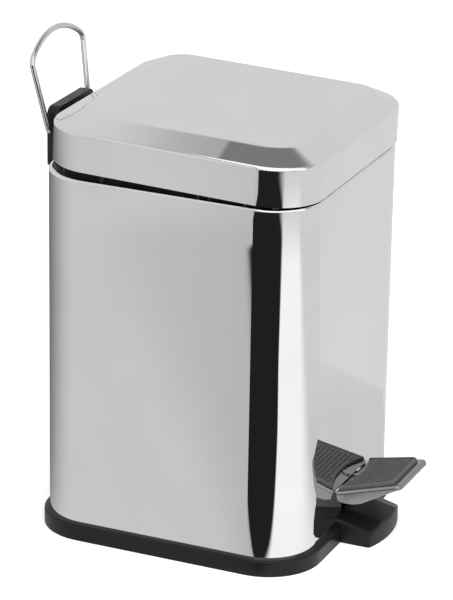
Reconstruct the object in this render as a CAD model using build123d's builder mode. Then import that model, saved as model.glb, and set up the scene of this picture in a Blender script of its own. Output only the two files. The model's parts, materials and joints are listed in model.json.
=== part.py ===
from build123d import *
import os
from math import cos, radians, sin, tan

# Pedal trash can, about 5 litres, with a square stainless steel body. Millimetres.
# +Z is up, -Y is the front with the pedal, +X is the right side seen from the front.
# The origin is on the floor, under the middle of the body.

# ---- Driving dimensions -------------------------------------------------------------------------
body_width = 190.0
body_depth = 195.0
corner_radius = 35.0
body_top = 258.0
sheet = 0.8  # steel sheet of the body and the lid

base_margin = 3.8  # how far the plastic base stands out all round
base_height = 11.5
base_floor = 2.5

lid_tilt = 1.7  # degrees, the shut lid lies a little lower at the front
lid_width = 193.0
lid_depth = 191.3
lid_radius = 34.3
lid_skirt = 26.0
lid_band_rise = 8.4
lid_band_inset = 19.0

hinge_y = 102.0
hinge_z = 268.0
lid_opening = 60.0  # degrees

rod_y = 87.0
pivot_y = -15.0
pivot_z = 22.0

pedal_slope = 14.4  # degrees, the pedal rises outwards
pedal_wall_z = 38.5
pedal_length = 45.5
pedal_inner_half = 31.0
pedal_outer_half = 26.0
pedal_x = 4.0  # the pedal and the toe stand a little to the right of the middle

handle_y = 116.2
handle_z = 264.5
handle_lean = 10.0  # degrees behind upright
wire_radius = 1.9

running_clearance = 0.05

os.makedirs("parts", exist_ok=True)

# ---- Shared frames and outlines -----------------------------------------------------------------
half_depth = body_depth / 2
body_outline = (body_width, body_depth, corner_radius, 0.0)

# The lid is drawn in its own frame, on the hinge line and tilted with the lid.
lid_frame = Plane(
    origin=(0, hinge_y, hinge_z),
    x_dir=(1, 0, 0),
    z_dir=(0, -sin(radians(lid_tilt)), cos(radians(lid_tilt))),
)
lid_side = Plane(origin=lid_frame.origin, x_dir=lid_frame.y_dir, z_dir=(1, 0, 0))
lid_rear = -8.7  # the skirt's rear face, in the lid's frame
lid_bottom = -2.8
lid_outline = (lid_width, lid_depth, lid_radius, lid_rear - lid_depth / 2)

# The pedal is drawn in the plane of its top face, with local +Y running in through the wall.
pedal_frame = Plane(
    origin=(0, -half_depth - 1.0, pedal_wall_z),
    x_dir=(1, 0, 0),
    z_dir=(0, sin(radians(pedal_slope)), cos(radians(pedal_slope))),
)

# The carry handle is drawn in the plane of its wire, with local +Y running up the handle.
handle_frame = Plane(
    origin=(0, handle_y, handle_z),
    x_dir=(1, 0, 0),
    z_dir=(0, -cos(radians(handle_lean)), sin(radians(handle_lean))),
)


def outline(size, inset=0.0, mode=Mode.ADD):
    """A rounded rectangle in the active sketch, drawn inset from its full size."""
    width, depth, radius, centre_y = size
    with Locations((0, centre_y)):
        RectangleRounded(width - 2 * inset, depth - 2 * inset, radius - inset, mode=mode)


def finish(builder, name):
    """Label one finished piece and write it."""
    builder.part.label = name
    export_step(builder.part, f"parts/{name}.step")


# ---- Body shell: one rolled and seamed sheet, its top edge curled inwards ------------------------
shell_bottom = 5.0
curl_width = 3.2
curl_height = 2.8
seam_width = 7.0
seam_height = 0.5
slot_width = 27.2
slot_bottom = 16.0
rear_notch_bottom = 249.5
bracket_screw_x = 14.0
bracket_screw_z = 244.0
screw_radius = 2.0
guide_z = 130.0
guide_screw_radius = 1.5
pivot_screw_x = 23.0
pivot_screw_y = 11.0

with BuildPart() as body_shell:
    with BuildSketch(Plane.XY.offset(shell_bottom)):
        outline(body_outline)
        outline(body_outline, sheet, Mode.SUBTRACT)
    extrude(amount=body_top - shell_bottom)
    with BuildSketch(Plane.XY.offset(body_top - curl_height)):
        outline(body_outline)
        outline(body_outline, curl_width, Mode.SUBTRACT)
    extrude(amount=curl_height)
    top_edges = body_shell.faces().sort_by(Axis.Z)[-1].outer_wire().edges()
    fillet(top_edges, curl_height - 0.4)
    # lock seam down the middle of the rear wall
    with Locations((0, half_depth, shell_bottom + (body_top - curl_height - shell_bottom) / 2)):
        Box(seam_width, 2 * seam_height, body_top - curl_height - shell_bottom - 2.0)
    with BuildSketch(Plane.XY.offset(shell_bottom)):
        outline(body_outline, sheet)
    extrude(amount=body_top - curl_height - shell_bottom, mode=Mode.SUBTRACT)
    # slot for the pedal in the front wall
    slot_top = pedal_wall_z + 0.5
    with Locations((0, -half_depth, (slot_bottom + slot_top) / 2)):
        Box(slot_width, 6, slot_top - slot_bottom, mode=Mode.SUBTRACT)
    # notch in the rear edge, where the lid's crank and the push rod come over
    with Locations((3, half_depth, (rear_notch_bottom + body_top + 2) / 2)):
        Box(24, 9, body_top + 2 - rear_notch_bottom, mode=Mode.SUBTRACT)
    # screw holes in the rear wall
    with BuildSketch(Plane.XZ.offset(-half_depth - 2)):
        with Locations((-bracket_screw_x, bracket_screw_z), (bracket_screw_x, bracket_screw_z)):
            Circle(screw_radius + 0.1)
        with Locations((0, guide_z)):
            Circle(guide_screw_radius + 0.1)
    extrude(amount=6, mode=Mode.SUBTRACT)
finish(body_shell, "body_shell")

# ---- Base tray: moulded plastic, with a groove for the shell and a toe under the pedal -----------
groove_gap = 0.1
inner_wall = 2.4
toe_half = 27.0
toe_reach = 29.6
toe_shoulder_half = 13.0  # the flat middle of the toe's top
toe_root = (17.0, 20.0)  # shoulder and middle height at the wall
toe_tip = (9.5, 14.5)
toe_tip_sweep = 5.0  # how far the tip's edge curves back at the sides
boss_height = 5.5
boss_width = 62.0
boss_depth = 34.0


def toe_section(distance, heights):
    """The toe's cross-section, at a distance in front of the wall."""
    shoulder, middle = heights
    with BuildSketch(Plane.XZ.offset(half_depth + distance)) as section:
        with BuildLine():
            Polyline(
                (pedal_x - toe_half, 0),
                (pedal_x - toe_half, shoulder),
                (pedal_x - toe_shoulder_half, middle),
                (pedal_x + toe_shoulder_half, middle),
                (pedal_x + toe_half, shoulder),
                (pedal_x + toe_half, 0),
                close=True,
            )
        make_face()
    return section.sketch


with BuildPart() as base_tray:
    with BuildSketch():
        outline(body_outline, -base_margin)
    extrude(amount=base_height)
    rim = base_tray.faces().sort_by(Axis.Z)[-1].outer_wire().edges()
    fillet(rim, 2.2)
    with BuildSketch(Plane.XY.offset(base_floor)):
        outline(body_outline, sheet + groove_gap + inner_wall)
    extrude(amount=base_height, mode=Mode.SUBTRACT)
    loft(sections=[toe_section(0, toe_root), toe_section(toe_reach, toe_tip)])
    # the toe's tip, curved in plan
    tip_y = -half_depth - toe_reach
    with BuildSketch():
        with BuildLine():
            tip_left = pedal_x - toe_half - 1
            tip_right = pedal_x + toe_half + 1
            ThreePointArc(
                (tip_left, tip_y + toe_tip_sweep), (pedal_x, tip_y), (tip_right, tip_y + toe_tip_sweep)
            )
            Polyline(
                (tip_right, tip_y + toe_tip_sweep),
                (tip_right, tip_y - 2),
                (tip_left, tip_y - 2),
                (tip_left, tip_y + toe_tip_sweep),
            )
        make_face()
    extrude(amount=toe_root[1], mode=Mode.SUBTRACT)
    toe_edges = [
        edge
        for edge in base_tray.edges()
        if edge.center().Y < -half_depth - base_margin - 2 and edge.bounding_box().max.Z > toe_tip[0] - 1
    ]
    fillet(toe_edges, 2.5)
    # groove for the shell
    with BuildSketch(Plane.XY.offset(shell_bottom)):
        outline(body_outline, -groove_gap)
        outline(body_outline, sheet + groove_gap, Mode.SUBTRACT)
        with Locations((0, half_depth)):
            Rectangle(seam_width + 0.4, 2 * seam_height + 0.2)
    extrude(amount=toe_root[1], mode=Mode.SUBTRACT)
    # raised pad under the pivot bracket
    with Locations((0, pivot_y, base_floor + boss_height / 2)):
        Box(boss_width, boss_depth, boss_height)
    # pilot holes for the pivot bracket's screws
    with BuildSketch(Plane.XY.offset(base_floor + boss_height)):
        with Locations((0, pivot_y)):
            with GridLocations(2 * pivot_screw_x, 2 * pivot_screw_y, 2, 2):
                Circle(screw_radius)
    extrude(amount=-boss_height, mode=Mode.SUBTRACT)
finish(base_tray, "base_tray")

# ---- Pivot bracket: a steel U on the base that carries the pedal lever ---------------------------
plate_thickness = 1.5
pivot_cheek_inner = 12.0
pivot_base_z = base_floor + boss_height
pin_radius = 2.5

with BuildPart() as pivot_bracket:
    with BuildSketch(Plane.XY.offset(pivot_base_z)):
        with Locations((0, pivot_y)):
            RectangleRounded(2 * (pivot_screw_x + 5), 2 * (pivot_screw_y + 5), 3)
            with GridLocations(2 * pivot_screw_x, 2 * pivot_screw_y, 2, 2):
                Circle(screw_radius + 0.1, mode=Mode.SUBTRACT)
    extrude(amount=plate_thickness)
    for side in (-1, 1):
        cheek_plane = Plane.YZ.offset(side * (pivot_cheek_inner + plate_thickness / 2))
        with BuildSketch(cheek_plane):
            with Locations((pivot_y, pivot_z)):
                Circle(7)
            with Locations((pivot_y, (pivot_base_z + pivot_z) / 2)):
                Rectangle(14, pivot_z - pivot_base_z)
            with Locations((pivot_y, pivot_z)):
                Circle(pin_radius, mode=Mode.SUBTRACT)
        extrude(amount=plate_thickness / 2, both=True)
finish(pivot_bracket, "pivot_bracket")

with BuildPart() as pivot_bracket_screws:
    with Locations((0, pivot_y, pivot_base_z + plate_thickness)):
        with GridLocations(2 * pivot_screw_x, 2 * pivot_screw_y, 2, 2):
            Cylinder(3.6, 2.2, align=(Align.CENTER, Align.CENTER, Align.MIN))
            Cylinder(screw_radius, 6.5, align=(Align.CENTER, Align.CENTER, Align.MAX))
            Box(5.0, 0.9, 1.2, align=(Align.CENTER, Align.CENTER, Align.CENTER), mode=Mode.SUBTRACT)
finish(pivot_bracket_screws, "pivot_bracket_screws")

pin_half = 17.5

with BuildPart() as pivot_pin:
    with Locations((0, pivot_y, pivot_z)):
        Cylinder(pin_radius, 2 * pin_half, rotation=(0, 90, 0))
    chamfer(pivot_pin.edges().filter_by(GeomType.CIRCLE), 0.5)
finish(pivot_pin, "pivot_pin")

clip_offset = pivot_cheek_inner + plate_thickness + 0.6

with BuildPart() as pin_clips:
    for side in (-1, 1):
        with BuildSketch(Plane.YZ.offset(side * clip_offset)):
            with Locations((pivot_y, pivot_z)):
                Circle(4.6)
                Circle(pin_radius, mode=Mode.SUBTRACT)
        extrude(amount=0.5, both=True)
finish(pin_clips, "pin_clips")

# ---- Pedal plate: folded steel with turned-down sides and lip, and a tongue into the body --------
flange_depth = 12.0
pedal_bend = 2.2
tongue_half = 13.0
tongue_length = 20.0
rivet_rows = (8.5, 15.5)  # along the tongue, in the pedal's frame
rivet_x = 6.0
rivet_radius = 2.0
rib_half = 1.6
rib_length = 5.6
pedal_side = Plane(origin=pedal_frame.origin, x_dir=pedal_frame.y_dir, z_dir=(1, 0, 0))

with BuildPart() as pedal_plate:
    with BuildSketch(pedal_frame):
        with BuildLine():
            Polyline(
                (pedal_x - pedal_inner_half, 0),
                (pedal_x - pedal_outer_half, -pedal_length),
                (pedal_x + pedal_outer_half, -pedal_length),
                (pedal_x + pedal_inner_half, 0),
                close=True,
            )
        make_face()
        fillet(vertices().group_by(Axis.Y)[0], 4.0)
    extrude(amount=-flange_depth)
    top_face = pedal_plate.faces().filter_by(lambda f: f.normal_at().dot(pedal_frame.z_dir) > 0.99)[0]
    wall_edge = top_face.edges().sort_by(Axis.Y)[-1]
    fillet([edge for edge in top_face.edges() if edge != wall_edge], pedal_bend)
    open_faces = [
        face
        for face in pedal_plate.faces()
        if face.normal_at().dot(pedal_frame.z_dir) < -0.99 or face.normal_at().dot(pedal_frame.y_dir) > 0.99
    ]
    offset(amount=-plate_thickness, openings=open_faces)
    # the side flanges are deepest near the wall and run out towards the lip
    with BuildSketch(pedal_side):
        with BuildLine():
            Polyline(
                (2, -5.0),
                (-4, -8.5),
                (-10, -10.0),
                (-16, -10.0),
                (-pedal_length + 4, -3.6),
                (-pedal_length - 2, -3.6),
                (-pedal_length - 2, -flange_depth - 2),
                (2, -flange_depth - 2),
                close=True,
            )
        make_face()
    extrude(amount=pedal_inner_half + pedal_x + 2, both=True, mode=Mode.SUBTRACT)
    # tongue through the wall
    with BuildSketch(pedal_frame):
        with Locations((0, tongue_length / 2 - 2)):
            Rectangle(2 * tongue_half, tongue_length + 4)
    extrude(amount=-plate_thickness)
    with BuildSketch(pedal_frame):
        with Locations(*[(x, y) for x in (-rivet_x, rivet_x) for y in rivet_rows]):
            Circle(rivet_radius)
    extrude(amount=-plate_thickness, mode=Mode.SUBTRACT)
    # stiffening rib along the middle, between the pad and the wall
    with BuildSketch(pedal_frame):
        with Locations((pedal_x, -rib_length / 2 - 0.3)):
            SlotOverall(rib_length, 2 * rib_half, rotation=90)
    extrude(amount=1.0)
finish(pedal_plate, "pedal_plate")

# ---- Pedal pad: rubber, with a border round a textured field and a hollowed wall edge ------------
pad_thickness = 2.6
pad_side_inset = 2.6
pad_end_inset = 5.2
pad_hollow = 6.8  # depth of the bare metal at the middle of the wall edge


def pad_half(y):
    """Half the pad's width at a place along the pedal."""
    taper = (pedal_inner_half - pedal_outer_half) / pedal_length
    return pedal_inner_half - pad_side_inset + taper * y


with BuildPart() as pedal_pad:
    with BuildSketch(pedal_frame):
        with BuildLine():
            pad_start = -1.2
            pad_end = -pedal_length + pad_end_inset
            ThreePointArc(
                (pedal_x - pad_half(pad_start), pad_start),
                (pedal_x, -pad_hollow),
                (pedal_x + pad_half(pad_start), pad_start),
            )
            Polyline(
                (pedal_x + pad_half(pad_start), pad_start),
                (pedal_x + pad_half(pad_end), pad_end),
                (pedal_x - pad_half(pad_end), pad_end),
                (pedal_x - pad_half(pad_start), pad_start),
            )
        make_face()
        fillet(vertices().group_by(Axis.Y)[0], 4.0)
    extrude(amount=pad_thickness)
    pad_top = pedal_pad.faces().filter_by(lambda f: f.normal_at().dot(pedal_frame.z_dir) > 0.99)[0]
    chamfer(pad_top.edges(), 0.9)
finish(pedal_pad, "pedal_pad")

# ---- Pedal lever: a steel strip from the tongue, over the pivot, to the push rod -----------------
lever_thickness = 2.5
lever_half = 10.0
rod_drop = (hinge_y - rod_y) * tan(radians(lid_opening / 2))  # rod's top below the hinge at rest
rod_travel = 2 * rod_drop
rod_bottom_z = pivot_z - rod_travel / 2
rod_top_z = hinge_z - rod_drop
ear_x = (5.5, 8.0)
lever_under = -plate_thickness - lever_thickness / 2


def pedal_point(y, z):
    """A point of the pedal's frame as (Y, Z) of the can."""
    point = pedal_frame.from_local_coords(Vector(0, y, z))
    return (point.Y, point.Z)


with BuildPart() as pedal_lever:
    with BuildSketch(Plane.YZ):
        with BuildLine():
            FilletPolyline(
                pedal_point(4.0, lever_under),
                pedal_point(22.0, lever_under),
                (pivot_y - 12, pivot_z + 7),
                (pivot_y + 12, pivot_z + 7),
                (rod_y - 15, rod_bottom_z + 5),
                (rod_y - 4, rod_bottom_z + 5),
                radius=6,
            )
        trace(line_width=lever_thickness)
    extrude(amount=lever_half, both=True)
    # ears round the pivot pin
    for side in (-1, 1):
        with BuildSketch(Plane.YZ.offset(side * (lever_half - 1))):
            with Locations((pivot_y, pivot_z)):
                Circle(6)
            with Locations((pivot_y, pivot_z + 4)):
                Rectangle(12, 7)
            with Locations((pivot_y, pivot_z)):
                Circle(pin_radius + running_clearance, mode=Mode.SUBTRACT)
        extrude(amount=1, both=True)
    # rivet holes under the tongue
    with BuildSketch(pedal_frame):
        with Locations(*[(x, y) for x in (-rivet_x, rivet_x) for y in rivet_rows]):
            Circle(rivet_radius)
    extrude(amount=-8, mode=Mode.SUBTRACT)
    # the rear end: cleared for the rod, with one ear left for its hook
    with Locations((0, rod_y, rod_bottom_z + 5)):
        Box(2 * lever_half + 2, 14, 9, mode=Mode.SUBTRACT)
    with BuildSketch(Plane.YZ.offset(ear_x[0])):
        with Locations((rod_y - 8, rod_bottom_z + 2.5)):
            Rectangle(12, 9)
        with Locations((rod_y, rod_bottom_z)):
            Circle(5.5)
            SlotOverall(5.6, 4.5, mode=Mode.SUBTRACT)
    extrude(amount=ear_x[1] - ear_x[0])
finish(pedal_lever, "pedal_lever")

with BuildPart() as pedal_rivets:
    for x in (-rivet_x, rivet_x):
        for y in rivet_rows:
            head = Plane(
                origin=pedal_frame.from_local_coords(Vector(x, y, 0)),
                x_dir=(1, 0, 0),
                z_dir=pedal_frame.z_dir,
            )
            with Locations(head):
                Cylinder(
                    rivet_radius,
                    plate_thickness + lever_thickness,
                    align=(Align.CENTER, Align.CENTER, Align.MAX),
                )
                Cylinder(rivet_radius + 1.2, 1.0, align=(Align.CENTER, Align.CENTER, Align.MIN))
            with Locations(head.offset(-plate_thickness - lever_thickness)):
                Cylinder(rivet_radius + 1.2, 1.0, align=(Align.CENTER, Align.CENTER, Align.MAX))
finish(pedal_rivets, "pedal_rivets")

# ---- Push rod: a hooked wire from the lever up to the lid's crank --------------------------------
rod_radius = 2.0
hook_length = 11.0

with BuildPart() as push_rod:
    rod_plane = Plane.XZ.offset(-rod_y)
    with BuildLine(rod_plane) as rod_line:
        FilletPolyline(
            (hook_length, rod_bottom_z),
            (0, rod_bottom_z),
            (0, rod_top_z),
            (hook_length, rod_top_z),
            radius=3.5,
        )
    with BuildSketch(Plane(origin=(hook_length, rod_y, rod_bottom_z), z_dir=(-1, 0, 0))):
        Circle(rod_radius)
    sweep(path=rod_line.line)
finish(push_rod, "push_rod")

with BuildPart() as rod_clips:
    for z in (rod_bottom_z, rod_top_z):
        with BuildSketch(Plane.YZ.offset(ear_x[1] + 0.5)):
            with Locations((rod_y, z)):
                Circle(rod_radius + 1.8)
                Circle(rod_radius, mode=Mode.SUBTRACT)
        extrude(amount=0.9)
finish(rod_clips, "rod_clips")

inner_wall_y = half_depth - sheet
guide_height = 16.0

with BuildPart() as rod_guide:
    with Locations((0, (rod_y - 4 + inner_wall_y) / 2, guide_z)):
        Box(18, inner_wall_y - rod_y + 4, guide_height)
    fillet(rod_guide.edges().filter_by(Axis.Z).group_by(Axis.Y)[0], 2.5)
    with Locations((0, rod_y, guide_z)):
        Cylinder(rod_radius + running_clearance + 0.03, guide_height, mode=Mode.SUBTRACT)
    with BuildSketch(Plane.XZ.offset(-inner_wall_y)):
        with Locations((0, guide_z)):
            Circle(guide_screw_radius)
    extrude(amount=6, mode=Mode.SUBTRACT)
finish(rod_guide, "rod_guide")

with BuildPart() as guide_screw:
    with Locations(Plane(origin=(0, half_depth + seam_height, guide_z), x_dir=(1, 0, 0), z_dir=(0, 1, 0))):
        Cylinder(3.2, 1.8, align=(Align.CENTER, Align.CENTER, Align.MIN))
        Cylinder(guide_screw_radius, 6.0, align=(Align.CENTER, Align.CENTER, Align.MAX))
    fillet(guide_screw.edges().group_by(Axis.Y)[-1], 1.0)
finish(guide_screw, "guide_screw")

# ---- Hinge bracket: black housing on the rear wall, for the lid's pin and the carry handle -------
bracket_half = 27.5
bracket_rear_y = 120.0
bracket_bottom = 240.0
bracket_top = 281.5
bracket_corner = 6.0
bracket_front_y = half_depth + seam_height + 0.1
cavity_half = 21.5
cavity_floor = 250.5
lug_radius = 7.5
cover_front_y = 111.0
cover_thickness = 3.0
handle_hole_depth = 5.2

with BuildPart() as hinge_bracket:
    with BuildSketch(Plane.YZ):
        with BuildLine():
            Polyline(
                (bracket_front_y, bracket_bottom + 4),
                (bracket_front_y + 5, bracket_bottom),
                (bracket_rear_y, bracket_bottom),
                (bracket_rear_y, bracket_top),
                (cover_front_y, bracket_top),
                (cover_front_y, hinge_z + 4),
                (hinge_y, hinge_z),
                (bracket_front_y, hinge_z - 6),
                close=True,
            )
        make_face()
        with Locations((hinge_y, hinge_z)):
            Circle(lug_radius)
    extrude(amount=bracket_half, both=True)
    # rounded upper corners, seen from behind
    with BuildSketch(Plane.XZ.offset(-bracket_front_y + 20)):
        with Locations((0, (bracket_bottom + bracket_top) / 2)):
            Rectangle(2 * bracket_half, bracket_top - bracket_bottom)
        fillet(vertices().group_by(Axis.Y)[-1], bracket_corner)
    extrude(amount=-60, mode=Mode.INTERSECT)
    rear_face = hinge_bracket.faces().sort_by(Axis.Y)[-1]
    fillet(rear_face.outer_wire().edges(), 2.0)
    # open space between the cheeks for the lid's hinge leaf
    with BuildSketch(Plane.YZ):
        with BuildLine():
            Polyline(
                (hinge_y - 12, cavity_floor),
                (bracket_rear_y - 3.5, cavity_floor),
                (bracket_rear_y - 3.5, bracket_top - cover_thickness),
                (cover_front_y - 1, bracket_top - cover_thickness),
                (cover_front_y - 1, bracket_top + 5),
                (hinge_y - 12, bracket_top + 5),
                close=True,
            )
        make_face()
    extrude(amount=cavity_half, both=True, mode=Mode.SUBTRACT)
    # hole for the hinge pin, blind in both cheeks
    with Locations((0, hinge_y, hinge_z)):
        Cylinder(pin_radius, 2 * (bracket_half - 1.5), rotation=(0, 90, 0), mode=Mode.SUBTRACT)
    # sockets for the carry handle's ends
    for side in (-1, 1):
        with BuildSketch(Plane.YZ.offset(side * bracket_half)):
            with Locations((handle_y, handle_z)):
                Circle(wire_radius + running_clearance)
        extrude(amount=-side * handle_hole_depth, mode=Mode.SUBTRACT)
    # pilot holes for the two screws from inside the body
    with BuildSketch(Plane.XZ.offset(-bracket_front_y)):
        with Locations((-bracket_screw_x, bracket_screw_z), (bracket_screw_x, bracket_screw_z)):
            Circle(screw_radius)
    extrude(amount=-10, mode=Mode.SUBTRACT)
finish(hinge_bracket, "hinge_bracket")

backing_thickness = 1.2

with BuildPart() as backing_plate:
    with BuildSketch(Plane.XZ.offset(-inner_wall_y)):
        with Locations((0, bracket_screw_z)):
            RectangleRounded(44, 9, 2)
        with Locations((-bracket_screw_x, bracket_screw_z), (bracket_screw_x, bracket_screw_z)):
            Circle(screw_radius + 0.1, mode=Mode.SUBTRACT)
    extrude(amount=backing_thickness)
finish(backing_plate, "backing_plate")

with BuildPart() as bracket_screws:
    for x in (-bracket_screw_x, bracket_screw_x):
        seat = Plane(
            origin=(x, inner_wall_y - backing_thickness, bracket_screw_z), x_dir=(1, 0, 0), z_dir=(0, -1, 0)
        )
        with Locations(seat):
            Cylinder(3.4, 2.0, align=(Align.CENTER, Align.CENTER, Align.MIN))
            Cylinder(screw_radius, 11.0, align=(Align.CENTER, Align.CENTER, Align.MAX))
            with Locations((0, 0, 2.0)):
                Box(4.6, 0.9, 1.6, mode=Mode.SUBTRACT)
finish(bracket_screws, "bracket_screws")

with BuildPart() as hinge_pin:
    with Locations((0, hinge_y, hinge_z)):
        Cylinder(pin_radius, 2 * (bracket_half - 2.0), rotation=(0, 90, 0))
finish(hinge_pin, "hinge_pin")

# ---- Top collar: black moulded ring snapped under the curled edge, where the bucket hangs --------
collar_gap = 0.3
collar_top = 262.0
collar_bottom = 249.5
collar_wall = 2.0
collar_inset = curl_width + collar_gap
bucket_opening = (177.0, 166.0, 30.0, -8.0)

with BuildPart() as top_collar:
    with BuildSketch(Plane.XY.offset(collar_bottom)):
        outline(body_outline, collar_inset)
        outline(body_outline, collar_inset + collar_wall, Mode.SUBTRACT)
    extrude(amount=collar_top - collar_bottom)
    with BuildSketch(Plane.XY.offset(collar_bottom)):
        outline(body_outline, sheet + 0.1)
        outline(body_outline, collar_inset, Mode.SUBTRACT)
    extrude(amount=body_top - curl_height - 0.2 - collar_bottom)
    with BuildSketch(Plane.XY.offset(collar_top - 2.0)):
        outline(body_outline, collar_inset)
        outline(bucket_opening, 0, Mode.SUBTRACT)
    extrude(amount=2.0)
    # cut-out for the crank, the rod and the hinge leaf
    with Locations((3, half_depth - 8, collar_top - 4)):
        Box(24, 22, 30, mode=Mode.SUBTRACT)
    with Locations((0, half_depth, body_top + 4)):
        Box(2 * bracket_half + 4, 14, 10, mode=Mode.SUBTRACT)
finish(top_collar, "top_collar")

# ---- Lid shell: pressed steel skirt, sloping band and flat top -----------------------------------
shoulder_radius = 2.4
crown_radius = 7.0
notch_half = 29.5
notch_top = 19.5
leaf_rivet_x = (34.0, 43.0)
leaf_rivet_z = 11.5  # in the lid's frame
leaf_rivet_radius = 1.5


def lid_form(inset):
    """The lid's solid outer form, or its hollow when inset by the sheet's thickness."""
    with BuildPart() as form:
        with BuildSketch(lid_frame.offset(lid_bottom - inset)):
            outline(lid_outline, inset)
        extrude(amount=lid_skirt + inset - inset * 0.6)
        loft(
            sections=[
                lid_section(lid_bottom + lid_skirt - inset * 0.6, inset),
                lid_section(lid_bottom + lid_skirt + lid_band_rise - inset, lid_band_inset + inset * 0.5),
            ]
        )
        top = form.faces().filter_by(lambda f: f.normal_at().dot(lid_frame.z_dir) > 0.999)[0]
        fillet(top.edges(), crown_radius)
        fillet(shoulder_edges(form), shoulder_radius - inset)
    return form.part


def lid_section(height, inset):
    """The lid's outline at one height in its frame."""
    with BuildSketch(lid_frame.offset(height)) as section:
        outline(lid_outline, inset)
    return section.sketch


def shoulder_edges(form):
    """The edges between the skirt and the band."""
    low = lid_bottom + lid_skirt - 1.5
    high = lid_bottom + lid_skirt + 0.5
    return [
        edge
        for edge in form.edges()
        if low < lid_frame.to_local_coords(edge.position_at(0)).Z < high
        and low < lid_frame.to_local_coords(edge.position_at(0.5)).Z < high
        and low < lid_frame.to_local_coords(edge.position_at(1)).Z < high
    ]


def leaf_rivet_holes(depth):
    """Holes for the hinge leaf's rivets, through the rear of the active piece."""
    rear = Plane(
        origin=lid_frame.from_local_coords(Vector(0, lid_rear + 1, 0)),
        x_dir=(1, 0, 0),
        z_dir=-lid_frame.y_dir,
    )
    with BuildSketch(rear) as holes:
        with Locations(*[(side * x, leaf_rivet_z) for side in (-1, 1) for x in leaf_rivet_x]):
            Circle(leaf_rivet_radius + 0.1)
    extrude(holes.sketch, amount=depth, mode=Mode.SUBTRACT)


with BuildPart() as lid_shell:
    add(lid_form(0.0))
    add(lid_form(sheet), mode=Mode.SUBTRACT)
    # notch in the rear skirt for the hinge bracket
    with BuildSketch(lid_side):
        with BuildLine():
            Polyline(
                (lid_rear - 3, lid_bottom - 1),
                (lid_rear + 2, lid_bottom - 1),
                (lid_rear + 2, notch_top),
                (lid_rear - 3, notch_top),
                close=True,
            )
        make_face()
    extrude(amount=notch_half, both=True, mode=Mode.SUBTRACT)
    leaf_rivet_holes(5.0)
finish(lid_shell, "lid_shell")

# ---- Lid buffers: two rubber pads inside the front skirt, just above the body's edge --------------
buffer_x = 45.0
buffer_size = (9.0, 2.6, 8.0)

with BuildPart() as lid_buffers:
    for x in (-buffer_x, buffer_x):
        seat = Plane(
            origin=lid_frame.from_local_coords(Vector(x, lid_rear - lid_depth + sheet, lid_bottom - 0.9)),
            x_dir=(1, 0, 0),
            z_dir=lid_frame.z_dir,
        )
        with Locations(seat):
            Box(*buffer_size, align=(Align.CENTER, Align.MIN, Align.MIN))
    fillet(lid_buffers.edges().filter_by(Axis(lid_frame.origin, lid_frame.z_dir)), 0.8)
finish(lid_buffers, "lid_buffers")

# ---- Hinge leaf: riveted inside the lid's rear skirt, with two arms on the pin and a crank -------
leaf_thickness = 2.5
leaf_half = 48.0
leaf_span = (4.0, 19.5)  # lowest and highest, in the lid's frame
leaf_face = lid_rear - sheet
arm_x = (14.0, 17.0)
knuckle_radius = 5.5
crank_angle = lid_opening / 2 - lid_tilt  # below the lid's own level at rest
crank_reach = (14.6, 18.4)  # where the rod's hook travels along the crank
crank_slot_radius = rod_radius + 0.6
crank_half = crank_slot_radius + 2.8


def crank_point(reach):
    """A point on the crank's middle line, as (Y, Z) in the lid's frame."""
    return (-reach * cos(radians(crank_angle)), -reach * sin(radians(crank_angle)))


with BuildPart() as hinge_leaf:
    with BuildSketch(lid_side):
        with Locations((leaf_face - leaf_thickness / 2, sum(leaf_span) / 2)):
            Rectangle(leaf_thickness, leaf_span[1] - leaf_span[0])
    extrude(amount=leaf_half, both=True)
    for side in (-1, 1):
        with BuildSketch(lid_side.offset(side * arm_x[0] if side > 0 else -arm_x[1])):
            with BuildLine():
                Polyline(
                    (leaf_face - leaf_thickness, leaf_span[0]),
                    (-2, -knuckle_radius + 0.4),
                    (4.2, 3.5),
                    (leaf_face - leaf_thickness, leaf_span[1]),
                    close=True,
                )
            make_face()
            Circle(knuckle_radius)
        extrude(amount=arm_x[1] - arm_x[0])
    # the crank, hanging down in front of the pin to the push rod
    with BuildSketch(lid_side.offset(ear_x[0])) as crank:
        Circle(knuckle_radius)
        with Locations(crank_point(crank_reach[0]), crank_point(crank_reach[1])):
            Circle(crank_half)
        make_hull()
        with BuildLine():
            Polyline(
                (leaf_face - leaf_thickness, leaf_span[0] + 6),
                (leaf_face - leaf_thickness, -8),
                (leaf_face, -4),
                (leaf_face, leaf_span[0] + 6),
                close=True,
            )
        make_face()
        with Locations(crank_point(sum(crank_reach) / 2)):
            SlotCenterToCenter(
                crank_reach[1] - crank_reach[0],
                2 * crank_slot_radius,
                rotation=crank_angle,
                mode=Mode.SUBTRACT,
            )
    extrude(amount=ear_x[1] - ear_x[0])
    # bore for the hinge pin
    with BuildSketch(lid_side.offset(-arm_x[1] - 1)):
        Circle(pin_radius + running_clearance)
    extrude(amount=2 * arm_x[1] + 2, mode=Mode.SUBTRACT)
    leaf_rivet_holes(6.0)
finish(hinge_leaf, "hinge_leaf")

# ---- Rivets of the hinge leaf, with low round heads behind the lid's skirt -----------------------
with BuildPart() as leaf_rivets:
    for side in (-1, 1):
        for x in leaf_rivet_x:
            origin = lid_frame.from_local_coords(Vector(side * x, lid_rear, leaf_rivet_z))
            outer = Plane(origin=origin, x_dir=(1, 0, 0), z_dir=lid_frame.y_dir)
            with Locations(outer):
                Cylinder(3.0, 1.0, align=(Align.CENTER, Align.CENTER, Align.MIN))
                Cylinder(
                    leaf_rivet_radius, sheet + leaf_thickness, align=(Align.CENTER, Align.CENTER, Align.MAX)
                )
            with Locations(outer.offset(-sheet - leaf_thickness)):
                Cylinder(3.0, 1.0, align=(Align.CENTER, Align.CENTER, Align.MAX))
finish(leaf_rivets, "leaf_rivets")

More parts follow.
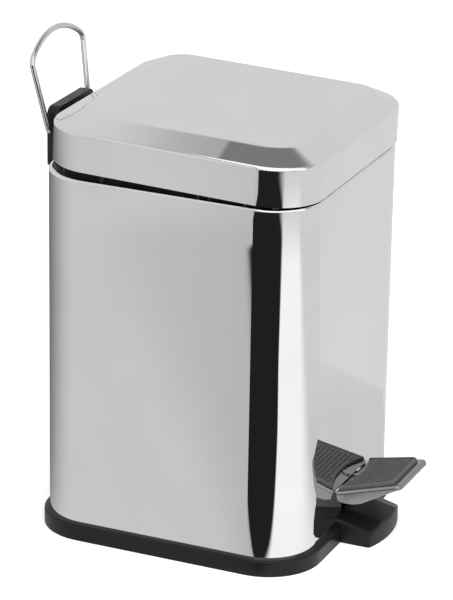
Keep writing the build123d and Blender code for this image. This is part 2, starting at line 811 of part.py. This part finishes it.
# ---- Carry handle: one bent wire, its ends sprung into the hinge bracket -------------------------
handle_foot = bracket_half + 3.3
handle_foot_bend = 3.0
handle_shoulder = (38.5, 51.0)
handle_shoulder_bend = 7.0
handle_crown = 65.0
handle_end = bracket_half - handle_hole_depth + 0.4

with BuildPart() as carry_handle:
    with BuildLine(handle_frame) as handle_line:
        left = Polyline(
            (-handle_end, 0), (-handle_foot, 0), (-handle_shoulder[0], handle_shoulder[1])
        )
        arch = ThreePointArc(left @ 1, (0, handle_crown), (handle_shoulder[0], handle_shoulder[1]))
        Polyline(arch @ 1, (handle_foot, 0), (handle_end, 0))
        corners = vertices().sort_by(Axis.Z)
        fillet([corner for corner in corners[:4] if abs(corner.X) > handle_foot - 0.1], handle_foot_bend)
        fillet(vertices().sort_by(Axis.Z)[-2:], handle_shoulder_bend)
    handle_path = handle_line.wires()[0]
    with BuildSketch(Plane(origin=handle_path @ 0, z_dir=handle_path % 0)):
        Circle(wire_radius)
    sweep(path=handle_path)
finish(carry_handle, "carry_handle")

# ---- Inner bucket: moulded, hung in the collar by its rim ----------------------------------------
bucket_outline = (173.0, 162.0, 28.0, -8.0)
bucket_rim_outline = (182.0, 170.0, 32.0, -8.5)
bucket_floor_z = 50.0
bucket_wall = 1.6
bucket_draft = 1.5
rim_thickness = 2.0
bucket_top = collar_top + rim_thickness
bail_z = 251.0
bail_y = -8.0
bail_radius = 1.5
lug_depth = 4.0

with BuildPart() as inner_bucket:
    with BuildSketch(Plane.XY.offset(bucket_top)):
        outline(bucket_outline)
    extrude(amount=bucket_floor_z - bucket_top, taper=bucket_draft)
    foot = inner_bucket.faces().sort_by(Axis.Z)[0].edges()
    fillet(foot, 8.0)
    with BuildSketch(Plane.XY.offset(collar_top)):
        outline(bucket_rim_outline)
    extrude(amount=rim_thickness)
    with BuildPart(mode=Mode.PRIVATE) as hollow:
        with BuildSketch(Plane.XY.offset(bucket_top)):
            outline(bucket_outline, bucket_wall)
        extrude(amount=bucket_floor_z + bucket_wall - bucket_top, taper=bucket_draft)
        fillet(hollow.faces().sort_by(Axis.Z)[0].edges(), 6.5)
    add(hollow.part, mode=Mode.SUBTRACT)
    # lugs inside the side walls for the bail's ends
    inner_half = bucket_outline[0] / 2 - bucket_wall
    for side in (-1, 1):
        with Locations((side * (inner_half - lug_depth / 2 + 0.6), bail_y, bail_z)):
            Box(lug_depth + 1.2, 12, 12)
        with BuildSketch(Plane.YZ.offset(side * (inner_half - lug_depth - 0.5))):
            with Locations((bail_y, bail_z)):
                Circle(bail_radius + running_clearance)
        extrude(amount=side * (lug_depth - 0.6), mode=Mode.SUBTRACT)
finish(inner_bucket, "inner_bucket")

# ---- Bail: a thin wire handle that hangs inside the bucket, with a plastic grip ------------------
bail_reach = 70.0
bail_half = inner_half - lug_depth - 3.0
grip_half = 32.0

with BuildPart() as bucket_bail:
    with BuildLine(Plane.XZ.offset(-bail_y)) as bail_line:
        FilletPolyline(
            (-inner_half + 1.2, bail_z),
            (-bail_half, bail_z),
            (-bail_half, bail_z - bail_reach),
            (bail_half, bail_z - bail_reach),
            (bail_half, bail_z),
            (inner_half - 1.2, bail_z),
            radius=[2.2, 14, 14, 2.2],
        )
    with BuildSketch(Plane(origin=bail_line.line @ 0, z_dir=bail_line.line % 0)):
        Circle(bail_radius)
    sweep(path=bail_line.line)
finish(bucket_bail, "bucket_bail")

with BuildPart() as bail_grip:
    with Locations((0, bail_y, bail_z - bail_reach)):
        Cylinder(5.0, 2 * grip_half, rotation=(0, 90, 0))
    fillet(bail_grip.edges().filter_by(GeomType.CIRCLE), 1.5)
    with Locations((0, bail_y, bail_z - bail_reach)):
        Cylinder(bail_radius, 2 * grip_half, rotation=(0, 90, 0), mode=Mode.SUBTRACT)
finish(bail_grip, "bail_grip")
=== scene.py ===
import json
from math import cos, pi, radians, sin

import bmesh
import bpy
from mathutils import Matrix, Vector


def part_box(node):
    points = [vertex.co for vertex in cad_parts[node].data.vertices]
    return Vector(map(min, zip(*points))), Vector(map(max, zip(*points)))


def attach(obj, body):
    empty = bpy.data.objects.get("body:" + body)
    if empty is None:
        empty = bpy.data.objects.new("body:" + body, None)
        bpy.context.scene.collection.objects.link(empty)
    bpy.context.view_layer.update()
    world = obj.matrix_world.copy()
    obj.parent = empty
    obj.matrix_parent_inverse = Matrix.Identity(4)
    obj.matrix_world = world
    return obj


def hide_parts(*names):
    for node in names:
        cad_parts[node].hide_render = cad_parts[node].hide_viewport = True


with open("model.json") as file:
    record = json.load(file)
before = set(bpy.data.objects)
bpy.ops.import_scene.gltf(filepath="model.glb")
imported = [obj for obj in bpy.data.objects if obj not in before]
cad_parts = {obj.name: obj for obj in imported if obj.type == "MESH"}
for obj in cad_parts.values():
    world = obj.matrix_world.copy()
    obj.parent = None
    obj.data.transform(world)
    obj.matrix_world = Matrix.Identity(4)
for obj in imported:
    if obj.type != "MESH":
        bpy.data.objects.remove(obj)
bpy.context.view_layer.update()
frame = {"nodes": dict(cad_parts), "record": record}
scene = bpy.context.scene
nodes = frame["nodes"]
MM = 0.001

# ---- Camera: the photograph's viewing angle -------------------------------------------------------
TURN = radians(66.34)  # how far left of straight ahead the camera stands
RISE = radians(21.06)
ROLL = radians(0.93)
DISTANCE = 2.261
AIM = Vector((0, 0, 0.140))
LENS = 198.0
SHIFT = (0.0083, 0.0277)


def make_camera():
    back = Vector((-sin(TURN) * cos(RISE), -cos(TURN) * cos(RISE), sin(RISE)))
    side = Vector((cos(TURN), -sin(TURN), 0))
    up = back.cross(side)
    right = side * cos(ROLL) + up * sin(ROLL)
    top = up * cos(ROLL) - side * sin(ROLL)
    data = bpy.data.cameras.new("camera")
    data.lens = LENS
    data.sensor_width = 36.0
    data.shift_x, data.shift_y = SHIFT
    data.clip_end = 50.0
    camera = bpy.data.objects.new("camera", data)
    turn = Matrix((right, top, back)).transposed().to_4x4()
    camera.matrix_world = Matrix.Translation(AIM + back * DISTANCE) @ turn
    scene.collection.objects.link(camera)
    scene.camera = camera


make_camera()
scene.view_settings.view_transform = "Standard"


# ---- Node helpers -------------------------------------------------------------------------------------
class Tree:
    """Short calls for building one node tree."""

    def __init__(self, tree):
        self.tree = tree
        tree.nodes.clear()

    def add(self, kind, inputs=None, **settings):
        node = self.tree.nodes.new(kind)
        for name, value in settings.items():
            setattr(node, name, value)
        for name, value in (inputs or {}).items():
            socket = node.inputs[name]
            if isinstance(value, bpy.types.NodeSocket):
                self.tree.links.new(value, socket)
            else:
                socket.default_value = value
        return node

    def link(self, source, target):
        self.tree.links.new(source, target)

    def math(self, operation, a, b=0.0, clamp=False):
        return self.add("ShaderNodeMath", {0: a, 1: b}, operation=operation, use_clamp=clamp).outputs[0]

    def product(self, first, *others):
        for other in others:
            first = self.math("MULTIPLY", first, other)
        return first

    def smooth(self, value, low, high, out_low=0.0, out_high=1.0):
        """A smooth step of value from out_low to out_high."""
        return self.add(
            "ShaderNodeMapRange",
            {"Value": value, "From Min": low, "From Max": high, "To Min": out_low, "To Max": out_high},
            interpolation_type="SMOOTHSTEP",
        ).outputs["Result"]

    def mix(self, factor, a, b):
        """A mix of two colours."""
        node = self.add("ShaderNodeMix", data_type="RGBA")
        for socket, value in ((node.inputs[0], factor), (node.inputs[6], a), (node.inputs[7], b)):
            if isinstance(value, bpy.types.NodeSocket):
                self.link(value, socket)
            else:
                socket.default_value = value
        return node.outputs[2]

    def noise(self, scale, detail=2.0, stretch=(1, 1, 1), roughness=0.5):
        place = self.add("ShaderNodeTexCoord").outputs["Object"]
        place = self.add("ShaderNodeMapping", {"Vector": place, "Scale": stretch}).outputs["Vector"]
        return self.add(
            "ShaderNodeTexNoise", {"Vector": place, "Scale": scale, "Detail": detail, "Roughness": roughness}
        ).outputs["Fac"]


def grey(value, warm=0.0):
    """A linear colour from an 0 to 255 display grey, a little warm or cool."""
    level = ((value / 255 + 0.055) / 1.055) ** 2.4
    return (level * (1 + warm), level, level * (1 - 2 * warm), 1)


# ---- Studio: floor, soft light, and cards that only reflections see ---------------------------------
METAL = 0.80  # how much light the polished steel returns
FLOOR_SIZE = 60.0
FLOOR_CARD_SIZE = 12.0
FLOOR_CARD_HEIGHT = -0.0005  # just under the floor, which reflections don't see
CEILING_CARD_SIZE = 14.0
CEILING_CARD_HEIGHT = 0.79

# lines drawn on the cards, each a point and the direction that it faces, in plan and in millimetres
GAP_LEFT = ((-139, -56), (-216, -471))
GAP_RIGHT = ((-132, -101), (-364, 372))
FRONT_PAPER = ((291, -250), (73, 40))
CEILING_GAP_FRONT = ((87, 166), (-0.22, -1))
CEILING_GAP_END = ((400, 0), (-1, 0.1))
CEILING_LAMP_EDGE = ((20, 0), (1, 0))

# the bright sheet's far edge curves in X along Y, in metres
SHEET_REACH = 0.072
SHEET_MIDDLE = 0.29
SHEET_CURVE = 0.9
SHEET_FADE = 0.14
REAR_CORNER = 0.062  # the rear left corner's middle is this far left and back
FRONT_CORNER = (-0.060, -0.0625, 0)


def card(value, warm=0.0):
    """The brightness of a card that shows as this display grey in polished steel."""
    return tuple(channel / METAL for channel in grey(value, warm)[:3]) + (1,)


def plane(name, size, height):
    half = size / 2
    mesh = bpy.data.meshes.new(name)
    corners = [(-half, -half, height), (half, -half, height), (half, half, height), (-half, half, height)]
    mesh.from_pydata(corners, [], [(0, 1, 2, 3)])
    obj = bpy.data.objects.new(name, mesh)
    scene.collection.objects.link(obj)
    return obj


def mirror_card(name, size, height):
    """A card that only reflections see, with its node tree and the place on it."""
    obj = plane(name, size, height)
    obj.visible_camera = False
    obj.visible_diffuse = False
    obj.visible_shadow = False
    obj.visible_transmission = False
    material = bpy.data.materials.new(name)
    material.use_nodes = True
    obj.data.materials.append(material)
    tree = Tree(material.node_tree)
    place = tree.add("ShaderNodeNewGeometry").outputs["Position"]
    parts = tree.add("ShaderNodeSeparateXYZ", {"Vector": place}).outputs
    return tree, place, parts


def glow_with(tree, colour):
    glow = tree.add("ShaderNodeEmission", {"Color": colour, "Strength": 1.0})
    out = tree.add("ShaderNodeOutputMaterial")
    tree.link(glow.outputs[0], out.inputs["Surface"])


def beyond(tree, place, point, normal):
    """Signed distance in metres of a place in front of a line through point, in plan."""
    length = (normal[0] ** 2 + normal[1] ** 2) ** 0.5
    unit = (normal[0] / length, normal[1] / length, 0)
    offset = (point[0] * unit[0] + point[1] * unit[1]) * MM
    along = tree.add("ShaderNodeVectorMath", {0: place, 1: unit}, operation="DOT_PRODUCT").outputs["Value"]
    return tree.math("SUBTRACT", along, offset)


def front_paper(tree, place, parts, radius):
    """Paper in front and on the right, with a bright sheet that fades out at a curved edge."""
    near_tone = tree.mix(tree.smooth(radius, 0.25, 0.40), card(196), card(204))
    far_front = tree.smooth(beyond(tree, place, *FRONT_PAPER), -0.004, 0.004)
    colour = tree.mix(far_front, near_tone, card(208, 0.008))
    from_middle = tree.math("ADD", parts["Y"], SHEET_MIDDLE)
    curve = tree.product(from_middle, from_middle, SHEET_CURVE)
    inside_edge = tree.math("SUBTRACT", tree.math("SUBTRACT", SHEET_REACH, curve), parts["X"])
    colour = tree.mix(tree.smooth(inside_edge, 0.0, SHEET_FADE), colour, card(243))
    corner = tree.add("ShaderNodeVectorMath", {0: place, 1: FRONT_CORNER}, operation="DISTANCE")
    return tree.mix(tree.smooth(corner.outputs["Value"], 0.62, 0.79), colour, card(206))


def left_paper(tree, parts, left, radius):
    """Paper on the left of the gap, shaded towards the gap and behind the object."""
    paper = tree.mix(tree.smooth(tree.math("DIVIDE", left, radius), -0.25, 0.0), card(197), card(180))
    back = tree.math("SUBTRACT", parts["Y"], REAR_CORNER)
    right = tree.math("ADD", parts["X"], REAR_CORNER)
    around = tree.math("ARCTAN2", back, right)
    shaded = tree.product(
        tree.smooth(around, radians(150), radians(40)),
        tree.smooth(parts["Y"], 0.07, 0.09),
        tree.smooth(radius, 1.3, 0.9),
    )
    return tree.mix(shaded, paper, card(105))


def dark_gap(tree, place, left, radius):
    """Where the floor's dark gap is: a wedge between two edges, the right one softer further out."""
    right = beyond(tree, place, *GAP_RIGHT)
    right = tree.math("SUBTRACT", right, tree.smooth(radius, 0.35, 0.55, 0.0, 0.020))
    right = tree.math("SUBTRACT", right, tree.smooth(radius, 0.78, 0.92, 0.0, 0.09))
    softness = tree.math(
        "ADD", tree.smooth(radius, 0.45, 1.0, 0.006, 0.05), tree.smooth(radius, 0.80, 0.90, 0.0, 0.10)
    )
    right_side = tree.smooth(tree.math("DIVIDE", right, softness), -1.0, 1.0)
    return tree.product(tree.smooth(left, -0.003, 0.003), right_side)


def floor_card():
    """What the upright walls mirror: pale paper, a bright sheet, and a dark gap on the camera's side."""
    tree, place, parts = mirror_card("mirror_floor", FLOOR_CARD_SIZE, FLOOR_CARD_HEIGHT)
    radius = tree.add("ShaderNodeVectorMath", {0: place}, operation="LENGTH").outputs["Value"]
    left = beyond(tree, place, *GAP_LEFT)
    left = tree.math("SUBTRACT", left, tree.smooth(radius, 0.70, 0.87, 0.0, 0.12))
    in_front = tree.product(tree.smooth(parts["X"], -0.106, -0.102), tree.smooth(parts["Y"], -0.02, -0.07))
    front_side = tree.math("MAXIMUM", tree.smooth(left, -0.002, 0.002), in_front)
    paper = left_paper(tree, parts, left, radius)
    colour = tree.mix(front_side, paper, front_paper(tree, place, parts, radius))
    glow_with(tree, tree.mix(dark_gap(tree, place, left, radius), colour, card(30)))


def ceiling_card():
    """What the lid's sloping band mirrors: a dark gap overhead, and a bright lamp on the left."""
    tree, place, parts = mirror_card("mirror_ceiling", CEILING_CARD_SIZE, CEILING_CARD_HEIGHT)
    past_lamp = tree.smooth(beyond(tree, place, *CEILING_LAMP_EDGE), -0.03, 0.03)
    gap = tree.product(
        tree.smooth(beyond(tree, place, *CEILING_GAP_FRONT), -0.002, 0.002),
        tree.smooth(beyond(tree, place, *CEILING_GAP_END), -0.14, 0.14),
        past_lamp,
        tree.smooth(parts["Y"], -0.26, -0.18),
    )
    left_tone = tree.mix(tree.smooth(parts["Y"], 0.165, 0.285), card(165), card(206))
    overhead = tree.mix(tree.smooth(parts["X"], 0.45, 0.25), card(203), left_tone)
    lamp = tree.mix(tree.smooth(parts["Y"], 0.19, 0.15), left_tone, card(252))
    glow_with(tree, tree.mix(gap, tree.mix(past_lamp, lamp, overhead), card(118)))


def make_floor():
    floor = plane("floor", FLOOR_SIZE, 0.0)
    floor.visible_glossy = False
    material = bpy.data.materials.new("floor")
    material.use_nodes = True
    tree = Tree(material.node_tree)
    shader = tree.add("ShaderNodeBsdfPrincipled", {"Base Color": (0.86, 0.86, 0.86, 1), "Roughness": 0.9})
    shader.inputs["Specular IOR Level"].default_value = 0.0
    shader.inputs["Emission Color"].default_value = (1, 1, 1, 1)
    shader.inputs["Emission Strength"].default_value = 0.42
    out = tree.add("ShaderNodeOutputMaterial")
    tree.link(shader.outputs[0], out.inputs["Surface"])
    floor.data.materials.append(material)


def make_world():
    """A pale studio, brighter and with a low dark strip on the camera's side."""
    world = bpy.data.worlds.new("studio")
    scene.world = world
    world.use_nodes = True
    tree = Tree(world.node_tree)
    ray = tree.add("ShaderNodeTexCoord").outputs["Generated"]
    parts = tree.add("ShaderNodeSeparateXYZ", {"Vector": ray}).outputs
    towards_camera = tree.math(
        "ADD", tree.math("MULTIPLY", parts["X"], -sin(TURN)), tree.math("MULTIPLY", parts["Y"], -cos(TURN))
    )
    bright = tree.product(tree.smooth(towards_camera, -0.2, 0.75), tree.smooth(parts["Y"], 0.35, 0.1))
    dark = tree.product(
        tree.smooth(towards_camera, 0.55, 0.75),
        tree.math("SUBTRACT", 1.0, tree.smooth(parts["Z"], 0.02, 0.25)),
        tree.smooth(parts["Y"], 0.3, 0.1),
    )
    colour = tree.mix(dark, tree.mix(bright, card(204), card(250)), card(40))
    background = tree.add("ShaderNodeBackground", {"Color": colour, "Strength": 1.0})
    out = tree.add("ShaderNodeOutputWorld")
    tree.link(background.outputs[0], out.inputs["Surface"])


def make_lamp():
    """A wide soft light from above the camera's side."""
    data = bpy.data.lights.new("overhead", "AREA")
    data.shape = "DISK"
    data.size = 1.6
    data.energy = 22.0
    lamp = bpy.data.objects.new("overhead", data)
    lamp.location = (-0.5, -0.9, 2.2)
    lamp.rotation_euler = (Vector((0.5, 0.9, -2.1))).to_track_quat("-Z", "Y").to_euler()
    lamp.visible_glossy = False
    scene.collection.objects.link(lamp)


make_floor()
floor_card()
ceiling_card()
make_world()
make_lamp()


# ---- Materials --------------------------------------------------------------------------------------
def principled(name, build):
    """A material whose Principled shader is filled in by build(tree, shader)."""
    material = bpy.data.materials.new(name)
    material.use_nodes = True
    tree = Tree(material.node_tree)
    shader = tree.add("ShaderNodeBsdfPrincipled")
    build(tree, shader)
    out = tree.add("ShaderNodeOutputMaterial")
    tree.link(shader.outputs[0], out.inputs["Surface"])
    return material


def bump(tree, shader, height, strength, distance):
    node = tree.add("ShaderNodeBump", {"Height": height, "Strength": strength, "Distance": distance})
    tree.link(node.outputs[0], shader.inputs["Normal"])


def polished_sheet(tree, shader):
    """Polished stainless sheet: nearly a mirror, with faint rolling lines and a slight waviness."""
    lines = tree.noise(260.0, 3.0, (1, 1, 0.04))
    patches = tree.noise(14.0, 3.0)
    colour = tree.mix(tree.smooth(patches, 0.3, 0.7), (0.785, 0.785, 0.785, 1), (0.815, 0.815, 0.812, 1))
    tree.link(colour, shader.inputs["Base Color"])
    tree.link(tree.smooth(lines, 0.3, 0.7, 0.018, 0.036), shader.inputs["Roughness"])
    shader.inputs["Metallic"].default_value = 1.0
    waves = tree.noise(9.0, 1.0)
    bump(tree, shader, waves, 0.10, 0.0006)


def satin_steel(tree, shader):
    """Brushed stainless of the folded pedal, with fine lines across."""
    lines = tree.noise(420.0, 3.0, (0.05, 1, 1))
    tree.link(tree.mix(lines, (0.27, 0.27, 0.265, 1), (0.32, 0.32, 0.315, 1)), shader.inputs["Base Color"])
    tree.link(tree.smooth(lines, 0.25, 0.75, 0.14, 0.20), shader.inputs["Roughness"])
    shader.inputs["Metallic"].default_value = 1.0


def plated(tree, shader):
    """Zinc-plated fittings, a little mottled."""
    spots = tree.noise(160.0, 4.0)
    colour = tree.mix(spots, (0.44, 0.45, 0.45, 1), (0.66, 0.66, 0.63, 1))
    tree.link(colour, shader.inputs["Base Color"])
    tree.link(tree.smooth(spots, 0.3, 0.7, 0.25, 0.45), shader.inputs["Roughness"])
    shader.inputs["Metallic"].default_value = 1.0


def wire(tree, shader):
    """Polished drawn wire."""
    lines = tree.noise(90.0, 2.0)
    colour = tree.mix(lines, (0.60, 0.60, 0.60, 1), (0.74, 0.74, 0.74, 1))
    tree.link(colour, shader.inputs["Base Color"])
    tree.link(tree.smooth(lines, 0.3, 0.7, 0.08, 0.16), shader.inputs["Roughness"])
    shader.inputs["Metallic"].default_value = 1.0


def moulded(dark, light, rough, shine=0.2):
    """A moulded plastic's builder: two near tones, a fine grain and uneven gloss."""

    def build(tree, shader):
        tone = tree.noise(35.0, 4.0)
        tree.link(tree.mix(tone, grey(dark), grey(light)), shader.inputs["Base Color"])
        tree.link(tree.smooth(tone, 0.3, 0.7, rough - 0.05, rough + 0.07), shader.inputs["Roughness"])
        shader.inputs["Specular IOR Level"].default_value = shine
        bump(tree, shader, tree.noise(1400.0, 2.0), 0.12, 0.0001)

    return build


def glossy_moulded(tree, shader):
    """The collar's glossy black, with painted highlight streaks: light upright streaks in the base colour
    that stand in for reflections off wrinkles in the plastic.
    """
    streaks = tree.noise(230.0, 2.0, (1, 1, 0.06))
    # mask of the painted highlight streaks
    highlight_streak_lines = tree.smooth(streaks, 0.56, 0.66)
    where = tree.smooth(tree.noise(22.0, 1.0), 0.45, 0.55)
    painted_highlight_streaks = tree.math("MULTIPLY", highlight_streak_lines, where)
    # painted highlight: upright light streaks mixed into the black base colour
    tree.link(tree.mix(painted_highlight_streaks, grey(6), grey(120)), shader.inputs["Base Color"])
    tree.link(tree.smooth(streaks, 0.3, 0.7, 0.15, 0.35), shader.inputs["Roughness"])
    shader.inputs["Specular IOR Level"].default_value = 0.12


def rubber(tree, shader):
    """Black rubber, dull, with a dusty bloom; its base grey is lighter than black rubber's, as painted
    sheen.
    """
    bloom_and_sheen = tree.noise(120.0, 5.0)
    # base greys 74 to 96 are partly painted sheen, lighter than black rubber, with a random bloom between
    # them
    tree.link(tree.mix(bloom_and_sheen, grey(74), grey(96)), shader.inputs["Base Color"])
    tree.link(tree.smooth(bloom_and_sheen, 0.3, 0.7, 0.5, 0.68), shader.inputs["Roughness"])
    bump(tree, shader, tree.noise(900.0, 2.0), 0.2, 0.0001)


finishes = {
    "body_steel": principled("polished_body", polished_sheet),
    "lid_steel": principled("polished_lid", polished_sheet),
    "pedal_steel": principled("pedal_steel_satin", satin_steel),
    "handle_steel": principled("handle_wire", wire),
    "plated_steel": principled("plated_fittings", plated),
    "rod_steel": principled("rod_wire", plated),
    "bail_steel": principled("bail_wire", wire),
    "base_plastic": principled("base_moulding", moulded(16, 26, 0.34, 0.24)),
    "bracket_plastic": principled("bracket_moulding", moulded(12, 22, 0.36, 0.35)),
    "guide_plastic": principled("guide_moulding", moulded(34, 44, 0.45)),
    "bucket_plastic": principled("bucket_moulding", moulded(38, 48, 0.48)),
    "grip_plastic": principled("grip_moulding", moulded(30, 42, 0.4)),
    "collar_plastic": principled("collar_moulding", glossy_moulded),
    "pad_rubber": principled("pad_rubber_black", rubber),
    "buffer_rubber": principled("buffer_rubber_black", rubber),
}
slot_of = {row["node"]: row["material_slot"] for row in frame["record"]["subparts"]}
for name, node in nodes.items():
    node.data.materials.clear()
    node.data.materials.append(finishes[slot_of[name]])

# ---- Pedal pad: the rubber's border, sunk field and raised tread (in its own millimetres) ------------
PEDAL_ORIGIN = (-98.5, 38.5)  # Y and Z of the pedal's edge at the wall
PEDAL_SLOPE = radians(14.4)
PAD_START = -1.2  # -Y runs out from the wall
PAD_END = -40.3
PAD_HOLLOW = 5.6  # how far the edge at the wall curves in
PAD_TAPER = 5.0 / 45.5
PAD_CORNER = 4.0
PAD_TOP = 2.6
PAD_CHAMFER = 0.9
BORDER = 1.7
FIELD_TOP = 1.5
BLOCK_TOP = 2.4
BLOCK_HALF = (1.35, 0.95)
BLOCK_PITCH = (3.6, 2.9)
BLOCK_MARGIN = 0.6
BLOCK_SUNK = 0.1  # how far a block starts below the field
BLOCK_NARROW = 0.3  # how much its top is drawn in on each side
BORDER_SLOPE = 0.4
PAD_CORNER_LEAST = 1.0
HOLLOW_STEPS = 16
CORNER_STEPS = 6
pad_low, pad_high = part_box("pedal_pad")
pad_half_width = (pad_high.x - pad_low.x) / 2 / MM


def pad_half(y, inset=0.0):
    return pad_half_width - inset + PAD_TAPER * (y - PAD_START)


def pad_edge(across, inset=0.0):
    """Y of the hollow edge at the wall, with across from -1 to 1."""
    return PAD_START - inset - PAD_HOLLOW * (1 - across**2)


def pad_outline(inset):
    """The pad's outline moved in by inset, always with the same number of points."""
    half = pad_half(PAD_START - inset, inset)
    steps = [2 * step / HOLLOW_STEPS - 1 for step in range(HOLLOW_STEPS + 1)]
    points = [(across * half, pad_edge(across, inset)) for across in steps]
    end = PAD_END + inset
    corner = max(PAD_CORNER - inset, PAD_CORNER_LEAST)
    centre = pad_half(end, inset) - corner
    turns = [pi / 2 * step / CORNER_STEPS for step in range(CORNER_STEPS + 1)]
    points += [(centre + corner * cos(turn), end + corner - corner * sin(turn)) for turn in turns]
    points += [(-centre - corner * sin(turn), end + corner - corner * cos(turn)) for turn in turns]
    return points


def add_slab(verts, faces):
    """The pad's body: outer wall, chamfer, border, inner wall and sunk field."""
    rings = [
        (0, 0),
        (0, PAD_TOP - PAD_CHAMFER),
        (PAD_CHAMFER, PAD_TOP),
        (BORDER, PAD_TOP),
        (BORDER + BORDER_SLOPE, FIELD_TOP),
    ]
    count = len(pad_outline(0))
    for inset, height in rings:
        verts += [(x, y, height) for x, y in pad_outline(inset)]
    for ring in range(len(rings) - 1):
        for step in range(count):
            after = (step + 1) % count
            low, high = ring * count, (ring + 1) * count
            faces.append((low + step, low + after, high + after, high + step))
    faces.append(tuple(range(count)))
    faces.append(tuple(range((len(rings) - 1) * count, len(rings) * count)))


def add_block(verts, faces, x, y):
    """One small block of the tread, a little narrower at its top."""
    first = len(verts)
    for height, narrow in ((FIELD_TOP - BLOCK_SUNK, 0.0), (BLOCK_TOP, BLOCK_NARROW)):
        half_x = BLOCK_HALF[0] - narrow
        half_y = BLOCK_HALF[1] - narrow
        for side_x, side_y in ((-1, -1), (1, -1), (1, 1), (-1, 1)):
            verts.append((x + side_x * half_x, y + side_y * half_y, height))
    faces.append(tuple(first + corner for corner in (3, 2, 1, 0)))
    faces.append(tuple(first + corner for corner in (4, 5, 6, 7)))
    for corner in range(4):
        after = (corner + 1) % 4
        faces.append((first + corner, first + after, first + 4 + after, first + 4 + corner))


def block_places():
    """Staggered rows of block centres that stay clear of the border."""
    margin = BORDER + BLOCK_MARGIN
    rows = int((PAD_START - PAD_END) / BLOCK_PITCH[1])
    columns = int(pad_half_width / BLOCK_PITCH[0]) + 1
    for row in range(rows):
        y = PAD_END + margin + BLOCK_HALF[1] + row * BLOCK_PITCH[1]
        for column in range(-columns, columns + 1):
            x = (column + 0.5 * (row % 2)) * BLOCK_PITCH[0]
            fits_sides = abs(x) + BLOCK_HALF[0] < pad_half(y, margin)
            fits_hollow = y + BLOCK_HALF[1] < pad_edge(abs(x) / pad_half(PAD_START), margin)
            if fits_sides and fits_hollow:
                yield x, y


def make_pad():
    verts, faces = [], []
    add_slab(verts, faces)
    for x, y in block_places():
        add_block(verts, faces, x, y)
    tread = Vector((0, sin(PEDAL_SLOPE), cos(PEDAL_SLOPE)))
    inward = Vector((0, cos(PEDAL_SLOPE), -sin(PEDAL_SLOPE)))
    turn = Matrix((Vector((1, 0, 0)), inward, tread)).transposed().to_4x4()
    origin = Vector(((pad_low.x + pad_high.x) / 2, PEDAL_ORIGIN[0] * MM, PEDAL_ORIGIN[1] * MM))
    mesh = bpy.data.meshes.new("pedal_pad_tread")
    mesh.from_pydata(verts, [], faces)
    mesh.transform(Matrix.Translation(origin) @ turn @ Matrix.Scale(MM, 4))
    shape = bmesh.new()
    shape.from_mesh(mesh)
    bmesh.ops.recalc_face_normals(shape, faces=shape.faces)
    shape.to_mesh(mesh)
    shape.free()
    pad = bpy.data.objects.new("pedal_pad_tread", mesh)
    scene.collection.objects.link(pad)
    mesh.materials.append(finishes["pad_rubber"])
    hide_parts("pedal_pad")
    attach(pad, "pedal")


make_pad()
